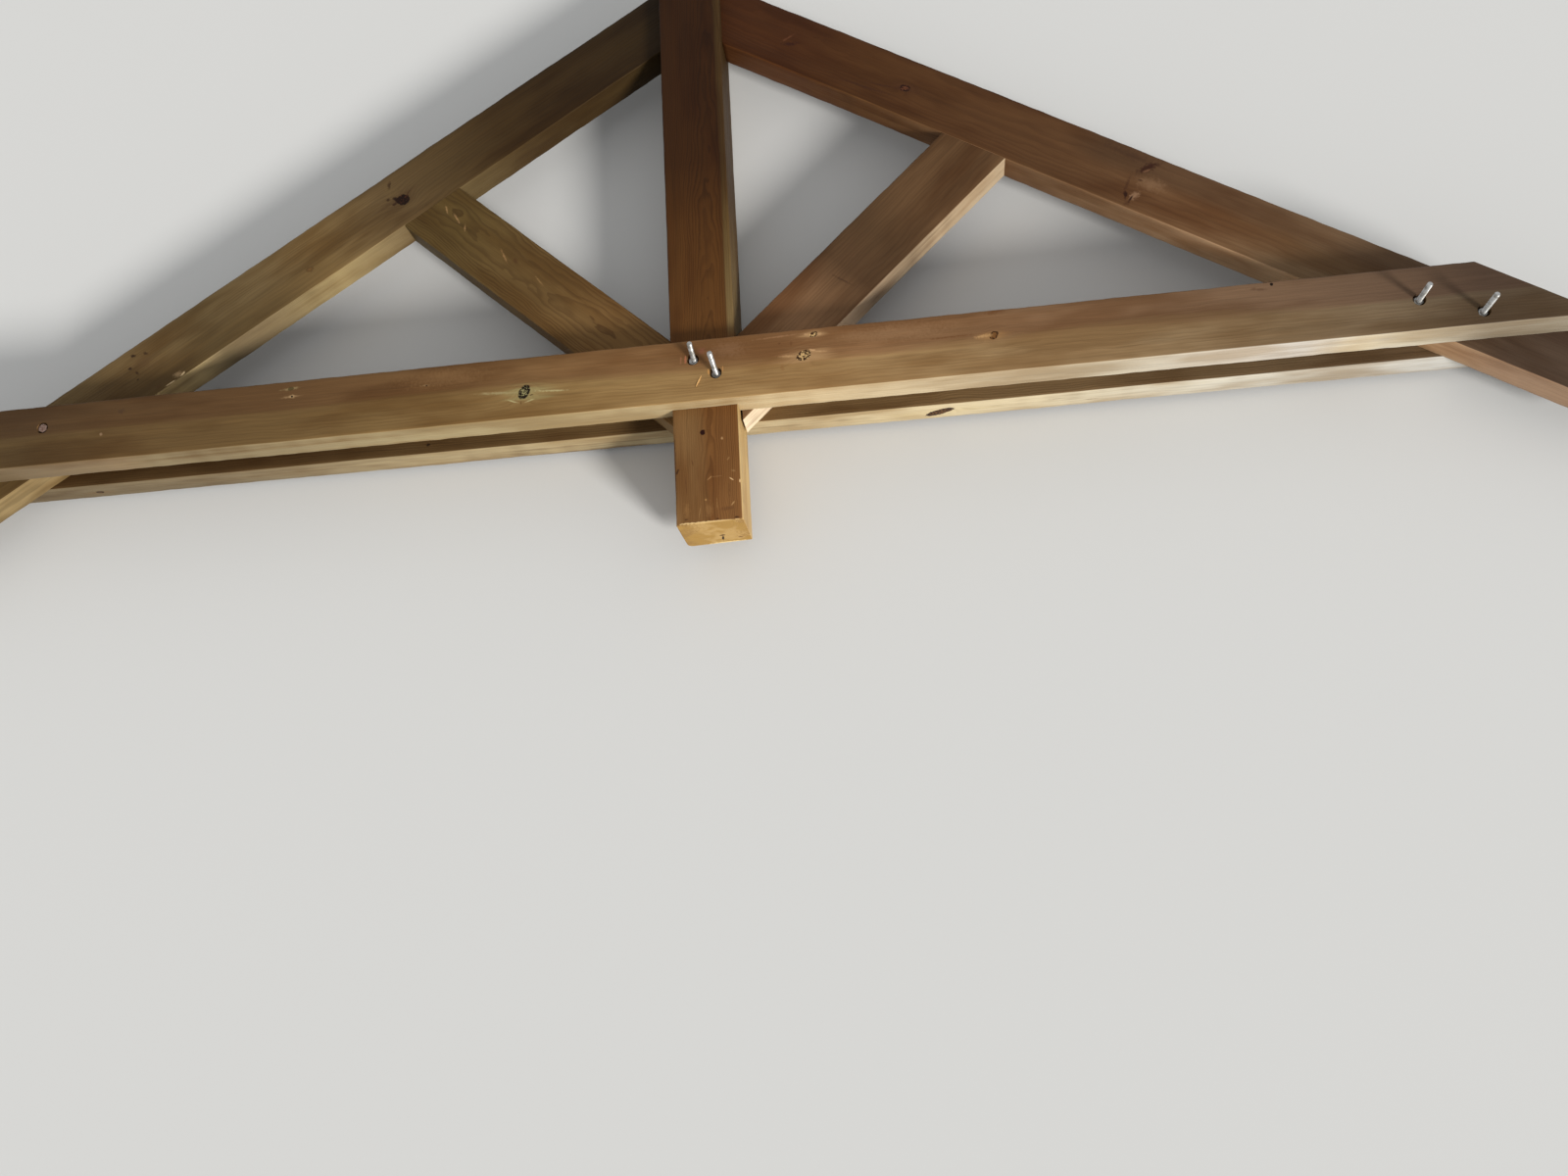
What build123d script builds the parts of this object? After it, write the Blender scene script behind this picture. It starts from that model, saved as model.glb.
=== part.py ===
from build123d import *
import math
import os

# Timber roof truss: a king post hung between twin ties, two rafters and two struts, bolted together.
# It lies on its back face. X runs along the ties, Y up the truss to the apex, Z from back to front.
# All lengths are in millimetres and all angles in degrees.

# roof
CLEAR_SPAN = 3928       # between the two walls, inner face to inner face
WALL_SEAT = 160         # length of each rafter's level seat on its wall
ROOF_PITCH = 32.3
APEX_HEIGHT = 1220      # from the ties' lower edges up to the peak of the roof line

# rafters
RAFTER_DEPTH = 150
CORE_THICKNESS = 75     # rafters and struts, which lie in one layer between the ties

# ties
TIE_DEPTH = 150
TIE_THICKNESS = 75
TIE_SETBACK = 1         # the ties' sloping ends lie this far below the rafters' top edges

# king post
POST_WIDTH = 150
POST_THICKNESS = 150
POST_DROP = 276         # how far the post's foot hangs below the ties' lower edges

# struts
STRUT_DEPTH = 160
STRUT_PITCH = 42.7
STRUT_FOOT = 10.5       # height of the struts' centre lines above the ties' lower edges, at the post's axis

# sawn arrises
EASE = 2

# bolts, nuts and their holes
BOLT_DIAMETER = 12
HEX_FLATS = 19
HEAD_HEIGHT = 7.5
NUT_HEIGHT = 10
THREAD_GAP = 0.1        # between a bolt and its nut, all round
HOLE_GAP = 0.5          # between a bolt and the timber, all round
RECESS_DIAMETER = 28
NUT_RECESS = 16         # the front nuts' recesses
HEAD_RECESS = 8         # the front heads' recesses
BACK_REACH = 23         # the bolts that point back stick out this far from the back tie
POINT_BEVEL = 1.5

# how far the bolts that point forward stick out from the front tie
FRONT_REACH = {"post_upper": 80, "post_lower": 98, "right_inner": 68, "right_outer": 74}

# bolt centres, measured from the middle of the crossing that they hold together
POST_BOLTS = {"upper": (-18, 28), "lower": (33, -10)}
RIGHT_BOLTS = {"inner": (-106, -2), "outer": (20, -43)}
LEFT_BOLTS = {"inner": (91, 20), "outer": (-37, -19)}

# levels of the layers, from the floor up
Z_BACK = max(BACK_REACH, HEAD_HEIGHT)
Z_CORE = Z_BACK + TIE_THICKNESS
Z_FRONT = Z_CORE + CORE_THICKNESS
Z_FACE = Z_FRONT + TIE_THICKNESS
HOUSING = (POST_THICKNESS - CORE_THICKNESS) / 2

SLOPE = math.tan(math.radians(ROOF_PITCH))
STRUT_SLOPE = math.tan(math.radians(STRUT_PITCH))
RAFTER_PLUMB = RAFTER_DEPTH / math.cos(math.radians(ROOF_PITCH))
STRUT_PLUMB = STRUT_DEPTH / math.cos(math.radians(STRUT_PITCH))
SETBACK_PLUMB = TIE_SETBACK / math.cos(math.radians(ROOF_PITCH))
HALF_POST = POST_WIDTH / 2


def roof(x):
    """Height of the rafters' top edges at the distance x from the post's axis."""
    return APEX_HEIGHT - SLOPE * x


def soffit(x):
    """Height of the rafters' lower edges."""
    return roof(x) - RAFTER_PLUMB


def strut_edge(x, side):
    """Height of a strut's upper edge (side 1) or lower edge (side -1)."""
    return STRUT_FOOT + STRUT_SLOPE * x + side * STRUT_PLUMB / 2


def strut_reach(side):
    """Where a strut's upper or lower edge meets the rafter's lower edge."""
    return (soffit(0) - strut_edge(0, side)) / (SLOPE + STRUT_SLOPE)


def crossing():
    """Distance from the post's axis to where a rafter's centre line crosses the ties' centre line."""
    return (APEX_HEIGHT - RAFTER_PLUMB / 2 - TIE_DEPTH / 2) / SLOPE


def sawn(points, level, thickness, direction):
    """A timber of the given outline, its arrises along the grain eased by a small bevel."""
    outline = Plane.XY.offset(level) * make_face(Polyline(*points, close=True))
    piece = extrude(outline, amount=thickness)
    grain = Axis((0, 0, 0), direction)
    return chamfer(piece.edges().filter_by(grain), EASE)


def mirrored(piece, side):
    """The right-hand piece itself, or its mirror image on the left."""
    return piece if side > 0 else mirror(piece, about=Plane.YZ)


def rafter(side):
    wall = CLEAR_SPAN / 2
    end = wall + WALL_SEAT
    points = [
        (HALF_POST, roof(HALF_POST)),
        (end, roof(end)),
        (end, soffit(wall)),
        (wall, soffit(wall)),
        (HALF_POST, soffit(HALF_POST)),
    ]
    return mirrored(sawn(points, Z_CORE, CORE_THICKNESS, (1, -SLOPE, 0)), side)


def strut(side):
    upper = strut_reach(1)
    lower = strut_reach(-1)
    points = [
        (HALF_POST, strut_edge(HALF_POST, 1)),
        (upper, soffit(upper)),
        (lower, soffit(lower)),
        (HALF_POST, strut_edge(HALF_POST, -1)),
    ]
    return mirrored(sawn(points, Z_CORE, CORE_THICKNESS, (1, STRUT_SLOPE, 0)), side)


def tie(level):
    upper = (roof(0) - SETBACK_PLUMB - TIE_DEPTH) / SLOPE
    lower = (roof(0) - SETBACK_PLUMB) / SLOPE
    points = [(-upper, TIE_DEPTH), (upper, TIE_DEPTH), (lower, 0), (-lower, 0)]
    return sawn(points, level, TIE_THICKNESS, (1, 0, 0))


def king_post():
    points = [
        (-HALF_POST, -POST_DROP),
        (HALF_POST, -POST_DROP),
        (HALF_POST, roof(HALF_POST)),
        (0, roof(0)),
        (-HALF_POST, roof(HALF_POST)),
    ]
    post = sawn(points, Z_CORE - HOUSING, POST_THICKNESS, (0, 1, 0))
    for level in (Z_CORE, Z_FRONT + HOUSING):
        housing = Box(POST_WIDTH, TIE_DEPTH, HOUSING, align=(Align.CENTER, Align.MIN, Align.MAX))
        post -= Pos(0, 0, level) * housing
    return post


def hexagon(height):
    face = RegularPolygon(HEX_FLATS / math.sqrt(3), 6)
    return extrude(face, amount=height)


def bolt(length):
    """A hexagon bolt whose head lies under its seat at zero and whose shank points up."""
    shank = Cylinder(BOLT_DIAMETER / 2, length, align=(Align.CENTER, Align.CENTER, Align.MIN))
    shank = chamfer(shank.edges().group_by(Axis.Z)[-1], POINT_BEVEL)
    return shank + Pos(0, 0, -HEAD_HEIGHT) * hexagon(HEAD_HEIGHT)


def nut():
    return hexagon(NUT_HEIGHT) - Cylinder(BOLT_DIAMETER / 2 + THREAD_GAP, 3 * NUT_HEIGHT)


def drilled(piece, centres):
    """The piece with a through hole at each centre."""
    for x, y in centres:
        piece -= Pos(x, y, Z_FACE / 2) * Cylinder(BOLT_DIAMETER / 2 + HOLE_GAP, 2 * Z_FACE)
    return piece


def recessed(piece, centres, depth):
    """The front tie with a flat-bottomed recess at each centre."""
    for x, y in centres:
        recess = Cylinder(RECESS_DIAMETER / 2, depth, align=(Align.CENTER, Align.CENTER, Align.MAX))
        piece -= Pos(x, y, Z_FACE) * recess
    return piece


def placed(offsets, x, y):
    return {name: (x + dx, y + dy) for name, (dx, dy) in offsets.items()}


def forward_set(prefix, centres):
    """Bolts with their heads on the back tie and their nuts sunk in the front tie."""
    nodes = {}
    for name, (x, y) in centres.items():
        length = Z_FACE - Z_BACK + FRONT_REACH[f"{prefix}_{name}"]
        nodes[f"bolt_{prefix}_{name}"] = Pos(x, y, Z_BACK) * bolt(length)
        nodes[f"nut_{prefix}_{name}"] = Pos(x, y, Z_FACE - NUT_RECESS) * nut()
    return nodes


def backward_set(prefix, centres):
    """Bolts with their heads sunk in the front tie and their nuts on the back tie."""
    nodes = {}
    seat = Z_FACE - HEAD_RECESS
    length = seat - Z_BACK + BACK_REACH
    for name, (x, y) in centres.items():
        nodes[f"bolt_{prefix}_{name}"] = Pos(x, y, seat) * Rot(180, 0, 0) * bolt(length)
        nodes[f"nut_{prefix}_{name}"] = Pos(x, y, Z_BACK - NUT_HEIGHT) * nut()
    return nodes


def truss():
    at_post = placed(POST_BOLTS, 0, TIE_DEPTH / 2)
    at_right = placed(RIGHT_BOLTS, crossing(), TIE_DEPTH / 2)
    at_left = placed(LEFT_BOLTS, -crossing(), TIE_DEPTH / 2)
    everywhere = [*at_post.values(), *at_right.values(), *at_left.values()]
    front = drilled(tie(Z_FRONT), everywhere)
    front = recessed(front, [*at_post.values(), *at_right.values()], NUT_RECESS)
    front = recessed(front, at_left.values(), HEAD_RECESS)
    return {
        "king_post": drilled(king_post(), at_post.values()),
        "tie_front": front,
        "tie_back": drilled(tie(Z_BACK), everywhere),
        "rafter_left": drilled(rafter(-1), at_left.values()),
        "rafter_right": drilled(rafter(1), at_right.values()),
        "strut_left": strut(-1),
        "strut_right": strut(1),
        **forward_set("post", at_post),
        **forward_set("right", at_right),
        **backward_set("left", at_left),
    }


def save(nodes):
    lowest = min(-POST_DROP, soffit(CLEAR_SPAN / 2))
    middle = (roof(0) + lowest) / 2
    os.makedirs("parts", exist_ok=True)
    for name, piece in nodes.items():
        export_step(Pos(0, -middle, 0) * piece, f"parts/{name}.step")


save(truss())
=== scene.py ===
# Looks of the timber roof truss: sawn pine, plated bolts, a pale floor and soft light.
# The truss lies on its back face, and the camera looks down on its front. All lengths are in metres.
import math
import random
from typing import NamedTuple

import bmesh
import bpy
import numpy as np
from mathutils import Matrix, Vector


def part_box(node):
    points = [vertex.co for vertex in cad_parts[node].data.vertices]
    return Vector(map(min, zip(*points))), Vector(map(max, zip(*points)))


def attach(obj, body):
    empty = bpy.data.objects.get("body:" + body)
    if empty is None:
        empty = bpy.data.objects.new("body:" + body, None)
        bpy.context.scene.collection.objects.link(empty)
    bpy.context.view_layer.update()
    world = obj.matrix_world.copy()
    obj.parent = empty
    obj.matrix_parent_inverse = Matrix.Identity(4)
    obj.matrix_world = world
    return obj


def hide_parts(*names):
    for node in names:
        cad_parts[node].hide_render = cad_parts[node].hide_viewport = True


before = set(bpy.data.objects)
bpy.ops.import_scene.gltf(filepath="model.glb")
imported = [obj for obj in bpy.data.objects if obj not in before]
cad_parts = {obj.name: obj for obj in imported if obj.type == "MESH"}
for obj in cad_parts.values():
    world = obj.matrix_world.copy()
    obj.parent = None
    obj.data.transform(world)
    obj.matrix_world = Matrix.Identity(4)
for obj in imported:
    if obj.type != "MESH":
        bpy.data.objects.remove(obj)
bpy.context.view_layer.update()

# Slopes and depths of the sloping timbers
ROOF_PITCH = math.radians(32.3)
STRUT_PITCH = math.radians(42.7)
RAFTER_DEPTH = 0.15
STRUT_DEPTH = 0.16

# Meshing of the timbers
STEP = 0.012
CORNER_POINTS = 4
TIMBER_ANGLE = 38    # edges sharper than this many degrees aren't shaded smooth
FITTING_ANGLE = 30    # the same for the steel and the splinter

# How far the uncut timbers reach past their cuts, and from where to where the uncut struts run
RAFTER_SPARE = (0.2, 0.25)
STRUT_REACH = (-0.25, 1.2)
TIE_SPARE = 0.02
POST_SPARE = (0.03, 0.05)

# Unevenness of the sawn faces
BOW = 0.0006
CUP = 0.0005
ROUGH = 0.00035
EDGES = (0.0025,) * 4    # radii of the worn arrises
EDGE_WEAR = 0.6
SAWN_EDGE = 0.0009
FOOT_SKEW = 0.03    # the post's foot is cut a little out of square
POST_EDGES = (0.003, 0.0025, 0.004, 0.024)    # the back edge on the left still has the log's round
STRUT_GAPS = {"left": 0.001, "right": 0.006}    # between the post and the lower tip of a strut's foot

# Seeds of the timbers' unevenness and of the recesses' rims
SEEDS = {
    "rafter_left": 19, "rafter_right": 21, "strut_left": 29, "strut_right": 31,
    "tie_front": 41, "tie_back": 63, "king_post": 50,
}
FIRST_RECESS_SEED = 70

# Fasteners
HEX_FLATS = 0.019
CROWN = 0.475 * HEX_FLATS    # the radius from which a hexagon's corners are turned off
HEAD_HEIGHT = 0.0075
BOLT_RADIUS = 0.006
THREAD_PITCH = 0.00175
THREAD_DEPTH = 0.0007
THREAD_LENGTH = 0.135
THREAD_STEPS = 5    # rings of points for each turn of the thread
POINT_BEVEL = 0.0014
LEANS = {"bolt_post_upper": (0.05, 0.0), "bolt_post_lower": (0.014, 0.007)}    # sideways per metre
LEAN_DEPTH = 0.05    # a bolt begins to lean this far below the front tie's face
RECESS_RADIUS = 0.014
RECESS_RAGGED = 0.0005
NUT_RECESS = 0.016
HEAD_RECESS = 0.008

# Camera of the photograph, above the floor and below the ties
CAMERA_PLACE = (0.4347, -1.7483, 3.0441)
CAMERA_YAW = math.radians(5.605)
CAMERA_PITCH = math.radians(16.351)
CAMERA_ROLL = math.radians(3.217)
CAMERA_LENS = 31.47
SENSOR_WIDTH = 36.0

# Light: one far lamp and an even sky
SUN_WAY = (-11.8, 13.2, -9.6)    # where its light goes
SUN_WIDTH = math.radians(12.5)    # how wide it looks, which sets how soft its shadows are
SUN_STRENGTH = 3.33
SUN_COLOUR = (1.0, 0.98, 0.95)
SKY_STRENGTH = 0.6
SKY_COLOUR = (0.98, 0.99, 1.0, 1.0)
FLOOR_REACH = 40.0


# Shader graphs

class Graph:
    """Builds a node tree from short calls. A number or a socket may stand for any input."""

    def __init__(self, tree):
        self.tree = tree

    def node(self, kind, inputs=(), **settings):
        node = self.tree.nodes.new(kind)
        for key, value in settings.items():
            setattr(node, key, value)
        for key, value in dict(inputs).items():
            self.feed(node.inputs[key], value)
        return node

    def feed(self, socket, value):
        if isinstance(value, bpy.types.NodeSocket):
            self.tree.links.new(value, socket)
        elif value is not None:
            socket.default_value = value

    def math(self, operation, a, b=None, c=None, clamp=False):
        node = self.node("ShaderNodeMath", {0: a, 1: b, 2: c}, operation=operation, use_clamp=clamp)
        return node.outputs[0]

    def plus(self, a, b):
        return self.math("ADD", a, b)

    def times(self, a, b):
        return self.math("MULTIPLY", a, b)

    def vector(self, operation, a, b=None):
        node = self.node("ShaderNodeVectorMath", {0: a, 1: b}, operation=operation)
        return node.outputs["Value" if operation in ("LENGTH", "DOT_PRODUCT") else "Vector"]

    def combine(self, x, y, z):
        return self.node("ShaderNodeCombineXYZ", {0: x, 1: y, 2: z}).outputs[0]

    def split(self, vector):
        return self.node("ShaderNodeSeparateXYZ", {0: vector}).outputs

    def step(self, value, low, high):
        """Goes smoothly from 0 at low to 1 at high, and also falls where low is above high."""
        inputs = {"Value": value, "From Min": low, "From Max": high}
        node = self.node("ShaderNodeMapRange", inputs, interpolation_type="SMOOTHSTEP")
        return node.outputs[0]

    def span(self, value, low, high):
        """Maps 0 to 1 onto low to high."""
        inputs = {"Value": value, "To Min": low, "To Max": high}
        return self.node("ShaderNodeMapRange", inputs).outputs[0]

    def noise(self, vector, scale=1.0, detail=2.0, roughness=0.5):
        inputs = {"Vector": vector, "Scale": scale, "Detail": detail, "Roughness": roughness}
        return self.node("ShaderNodeTexNoise", inputs, normalize=True).outputs

    def mix(self, factor, a, b, blend="MIX"):
        node = self.node("ShaderNodeMix", data_type="RGBA", blend_type=blend, clamp_factor=True)
        sockets = [s for s in node.inputs if s.enabled]
        for socket, value in zip(sockets, (factor, a, b)):
            self.feed(socket, value)
        return [s for s in node.outputs if s.enabled][0]

    def object_place(self):
        return self.node("ShaderNodeTexCoord").outputs["Object"]

    def surface(self, inputs):
        """The material's shader, joined to its output."""
        shader = self.node("ShaderNodeBsdfPrincipled", inputs)
        self.feed(self.node("ShaderNodeOutputMaterial").inputs["Surface"], shader.outputs[0])


def new_material(name):
    """A material without nodes, and the builder of its graph."""
    material = bpy.data.materials.new(name)
    material.use_nodes = True
    material.node_tree.nodes.clear()
    return material, Graph(material.node_tree)


def rgb(red, green, blue):
    """A linear colour from the usual 0 to 255 values."""
    def linear(value):
        value /= 255
        return value / 12.92 if value <= 0.04045 else ((value + 0.055) / 1.055) ** 2.4
    return (linear(red), linear(green), linear(blue), 1.0)


# The two ways in which knots and marks are placed on each face: u, then v
ALONG, ACROSS, THROUGH = Vector((1, 0, 0)), Vector((0, 1, 0)), Vector((0, 0, 1))
FACE_WAYS = {"front": (ALONG, ACROSS), "lower": (ALONG, THROUGH), "end": (THROUGH, ACROSS)}


def spot_group():
    """How far a point lies from the middle of an oval, where 1 is the oval's rim."""
    tree = bpy.data.node_groups.new("spot", "ShaderNodeTree")
    for name in ("Point", "Centre", "Long", "Short"):
        tree.interface.new_socket(name, in_out="INPUT", socket_type="NodeSocketVector")
    tree.interface.new_socket("Share", in_out="OUTPUT", socket_type="NodeSocketFloat")
    g = Graph(tree)
    given = g.node("NodeGroupInput").outputs
    away = g.vector("SUBTRACT", given["Point"], given["Centre"])
    along = g.vector("DOT_PRODUCT", away, given["Long"])
    across = g.vector("DOT_PRODUCT", away, given["Short"])
    g.node("NodeGroupOutput", {"Share": g.vector("LENGTH", g.combine(along, across, 0.0))})
    return tree


SPOT = spot_group()


class Knot(NamedTuple):
    """Where a knot shows on a face, its half sizes, its turn in degrees and its kind.

    On a front face u runs along the timber and v across its depth. On a lower face v runs across the
    thickness, and on a sawn end u does.
    """
    u: float
    v: float
    long: float
    short: float
    turn: float
    kind: str
    face: str = "front"


class Mark(NamedTuple):
    """A stain, hole, scar or crack: an oval of another colour, placed as a knot is.

    The share says how far its tone covers the wood, and soft how much of the oval is a soft rim. Some
    marks are painted shade instead.
    """
    u: float
    v: float
    long: float
    short: float
    turn: float
    tone: tuple
    share: float = 0.6
    soft: float = 0.9
    face: str = "front"


class Zone(NamedTuple):
    """A part of a timber in another tone, which sets in at start and is full at full along one axis.

    Its rim is as ragged as rough says. A stretch limits it along the timber in the same way. Some zones
    are painted light and shade: a face or stretch made paler or darker as the light falls on it.
    """
    axis: str
    start: float
    full: float
    rough: float
    tone: tuple
    share: float
    stretch: tuple = None


class Wood(NamedTuple):
    """The log that a timber was sawn from, and what shows on the timber. Colours are written in 255ths.

    pith_v and pith_w each say where the pith lies across the timber and how it leans along it. ring is
    the width of a year's ring, and the rings sway by wander, in so many waves a metre. painted_light
    lists factors for the colours, each with its place along the timber: painted light and shade, mostly
    darker towards the roof, where less light falls.
    """
    seed: int
    pith_v: tuple
    pith_w: tuple
    ring: float
    early: tuple
    late: tuple
    contrast: float
    stain: tuple
    zones: tuple
    # painted light and shade: colour factors along the timber
    painted_light: tuple
    along: Vector
    marks: tuple
    knots: tuple = ()
    end: tuple = (150, 116, 76)
    wander: float = 0.013
    waves: float = 1.6


def underside(depth, tone, share, stretch=None):
    """The zone of a timber's lower face, which sets in 2.2 mm above its lower edge. Its tone holds
    painted light: how brightly the light falls on that face.
    """
    edge = -depth / 2
    return Zone("v", edge + 0.0022, edge - 0.0002, 0.002, tone, share, stretch)


# Colours of a knot: its wood, its cracks, the halo, the halo's strength, how much more it is cracked at
# its rim, and the limit of crack noise above which the wood is broken
KNOT_KINDS = {
    "green": (rgb(136, 128, 88), rgb(22, 14, 6), rgb(158, 152, 104), 0.5, 0.12, 0.47),
    "pale": (rgb(188, 155, 105), rgb(52, 30, 14), rgb(186, 150, 106), 0.5, 0.11, 0.51),
    "brown": (rgb(112, 74, 38), rgb(56, 34, 14), rgb(160, 120, 74), 0.6, 0.24, 0.62),
    "split": (rgb(104, 72, 44), rgb(34, 16, 8), rgb(214, 196, 152), 0.5, 0.06, 0.47),
    "black": (rgb(58, 28, 14), rgb(22, 7, 3), rgb(66, 46, 26), 0.6, 0.05, 0.4),
    "dark": (rgb(76, 52, 30), rgb(40, 24, 12), rgb(104, 78, 48), 0.4, 0.2, 0.56),
    "red": (rgb(84, 48, 30), rgb(34, 14, 8), rgb(56, 30, 20), 0.5, 0.2, 0.54),
}


class Pine:
    """The material of one sawn timber. Its rings surround the log's pith, so that all its faces agree."""

    def __init__(self, name, wood):
        self.material, self.g = new_material(name)
        self.wood = wood
        self.late_tone = rgb(*wood.late)
        g = self.g
        self.point = g.node("ShaderNodeAttribute", attribute_name="grain").outputs["Vector"]
        shift = 3.7 * wood.seed
        self.moved = g.vector("ADD", self.point, (shift, shift, shift))
        self.u, self.v, self.w = g.split(self.point)
        self.fibre = self.stretched(9.0, 380.0, 3.0)
        self.streak = self.stretched(1.6, 42.0, 3.0)
        self.patch = self.stretched(2.4, 9.0, 3.0)
        self.wisps = g.span(self.stretched(7.0, 90.0, 2.0), -1.5, 1.5)
        self.torn = g.span(g.noise(self.point, 170.0, 3.0, 0.62)[0], -0.8, 0.8)
        self.crack = g.noise(self.point, 250.0, 2.0, 0.6)[0]
        self.spots = [(mark, self.spot(mark)) for mark in (*wood.knots, *wood.marks)]

    def stretched(self, along, across, detail):
        """Noise that is drawn out along the grain. Its value lies between 0 and 1."""
        place = self.g.vector("MULTIPLY", self.moved, (along, across, across))
        return self.g.noise(place, 1.0, detail, 0.58)[0]

    def spot(self, mark):
        """How far the shaded point is from a knot's or mark's middle, where 1 is its rim."""
        turn = math.radians(mark.turn)
        first, second = FACE_WAYS[mark.face]
        long = (math.cos(turn) * first + math.sin(turn) * second) / mark.long
        short = (math.cos(turn) * second - math.sin(turn) * first) / mark.short
        centre = mark.u * first + mark.v * second
        inputs = {"Point": self.point, "Centre": centre, "Long": long, "Short": short}
        return self.g.node("ShaderNodeGroup", inputs, node_tree=SPOT).outputs["Share"]

    def halo(self, knot):
        """Pale wood that trails away from a knot along the grain."""
        wide = knot._replace(long=2.8 * knot.long, short=1.25 * knot.short, turn=2)
        return self.g.step(self.g.plus(self.spot(wide), self.wisps), 1.7, 0.2)

    def rings(self):
        """The dark latewood lines, bent round the knots."""
        g = self.g
        wood = self.wood
        slow = g.noise(g.vector("MULTIPLY", self.moved, (wood.waves, 7.0, 7.0)))["Color"]
        quick = g.noise(g.vector("MULTIPLY", self.moved, (14.0, 45.0, 45.0)))["Color"]
        places = []
        for axis, coordinate, pith, lean in ((0, self.v, *wood.pith_v), (1, self.w, *wood.pith_w)):
            place = g.math("SUBTRACT", coordinate, g.math("MULTIPLY_ADD", self.u, lean, pith))
            place = g.plus(place, g.span(g.split(slow)[axis], -wood.wander, wood.wander))
            places.append(g.plus(place, g.span(g.split(quick)[axis], -0.004, 0.004)))
        radius = g.vector("LENGTH", g.combine(places[0], places[1], 0.0))
        for mark, share in self.spots:
            if isinstance(mark, Knot):
                squared = g.times(share, share)
                swell = g.math("POWER", 2.718, g.times(squared, -0.25))
                radius = g.plus(radius, g.times(swell, 1.3 * mark.short))
        uneven = g.noise(g.combine(radius, 3.1 * wood.seed, 0.0), 55.0, 1.0)[0]
        count = g.plus(g.math("DIVIDE", radius, wood.ring), g.times(uneven, 1.8))
        phase = g.math("FRACT", count)
        late = g.times(g.step(phase, 0.30, 0.86), g.step(phase, 1.0, 0.93))
        number = {"W": g.math("FLOOR", count)}
        depth = g.node("ShaderNodeTexWhiteNoise", number, noise_dimensions="1D").outputs[0]
        return g.times(late, g.span(depth, 0.45, 1.0))

    def sawn_faces(self, late):
        """The colours of the log, then those of single faces and stretches, some of them painted light
        and shade.
        """
        g = self.g
        wood = self.wood
        strength = g.times(g.span(self.patch, 0.35, 1.65), wood.contrast)
        colour = g.mix(g.math("MULTIPLY", late, strength, clamp=True), rgb(*wood.early), self.late_tone)
        for zone in wood.zones:
            place = self.u if zone.axis == "u" else self.v
            for noise in (self.streak, self.patch):
                place = g.plus(place, g.span(noise, -zone.rough, zone.rough))
            tinted = g.mix(g.times(late, 0.35 * wood.contrast), rgb(*zone.tone), self.late_tone)
            mask = g.times(g.step(place, zone.start, zone.full), zone.share)
            if zone.stretch:
                mask = g.times(mask, g.step(self.u, *zone.stretch))
            colour = g.mix(mask, colour, tinted)
        return colour

    def painted_light(self, stops):
        """Painted light and shade: a colour factor that changes slowly along the timber from stop to
        stop.
        """
        first, last = stops[0][0], stops[-1][0]
        inputs = {"Value": self.u, "From Min": first, "From Max": last}
        place = self.g.node("ShaderNodeMapRange", inputs).outputs[0]
        ramp = self.g.node("ShaderNodeValToRGB", {"Fac": place})
        elements = ramp.color_ramp.elements
        for index, (u, tone) in enumerate(stops):
            share = (u - first) / (last - first)
            element = elements[index] if index < 2 else elements.new(share)
            element.position = share
            element.color = (*tone, 1.0)
        return ramp.outputs[0]

    def toned(self, colour):
        """Painted light and shade that changes slowly along the timber, then uneven darkening: blotched
        and finely streaked.
        """
        g = self.g
        # painted light and shade along the timber
        colour = g.mix(1.0, colour, self.painted_light(self.wood.painted_light), "MULTIPLY")
        blotch = g.mix(1.0, colour, rgb(*self.wood.stain), "MULTIPLY")
        colour = g.mix(g.step(self.patch, 0.60, 0.34), colour, blotch)
        shade = g.times(g.span(self.fibre, 0.78, 1.22), g.span(self.streak, 0.80, 1.20))
        return g.mix(1.0, colour, g.combine(shade, shade, shade), "MULTIPLY")

    def stained(self, colour):
        """Lays the marks of the sawn end over it."""
        g = self.g
        for mark, share in self.spots:
            if mark.face == "end":
                colour = g.mix(g.step(g.plus(share, self.torn), 1.0, 0.6), colour, rgb(*mark.tone))
        return colour

    def marked(self, colour):
        """Lays the marks, and the knots with their halos and cracks, over the colour."""
        g = self.g
        for mark, share in self.spots:
            if isinstance(mark, Mark):
                mask = g.times(g.step(g.plus(share, self.torn), 1.0, 1.0 - mark.soft), mark.share)
                colour = g.mix(mask, colour, rgb(*mark.tone))
                continue
            wood, dark, halo, strength, rim, limit = KNOT_KINDS[mark.kind]
            colour = g.mix(g.times(self.halo(mark), strength), colour, halo)
            outline = g.math("MULTIPLY_ADD", self.torn, 0.35, share)
            inside = g.step(outline, 1.12, 0.96)
            edge = g.times(g.step(outline, 0.45, 0.8), g.step(outline, 1.15, 1.0))
            broken = g.math("MULTIPLY_ADD", edge, rim, self.crack)
            knot = g.mix(g.step(broken, limit, limit + 0.06), wood, dark)
            colour = g.mix(inside, colour, knot)
        return colour

    def end_grain(self, colour, late):
        """Sawn ends show the rings as rings."""
        g = self.g
        normal = g.node("ShaderNodeNewGeometry").outputs["Normal"]
        ends = g.math("ABSOLUTE", g.vector("DOT_PRODUCT", normal, self.wood.along))
        blotch = g.step(g.noise(self.point, 17.0, 2.0, 0.6)[0], 0.44, 0.56)
        tone = g.mix(g.times(blotch, 0.35), rgb(*self.wood.end), colour)
        tone = g.mix(g.times(late, 0.35), tone, self.late_tone)
        return g.mix(g.step(ends, 0.6, 0.85), colour, self.stained(tone))

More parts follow.
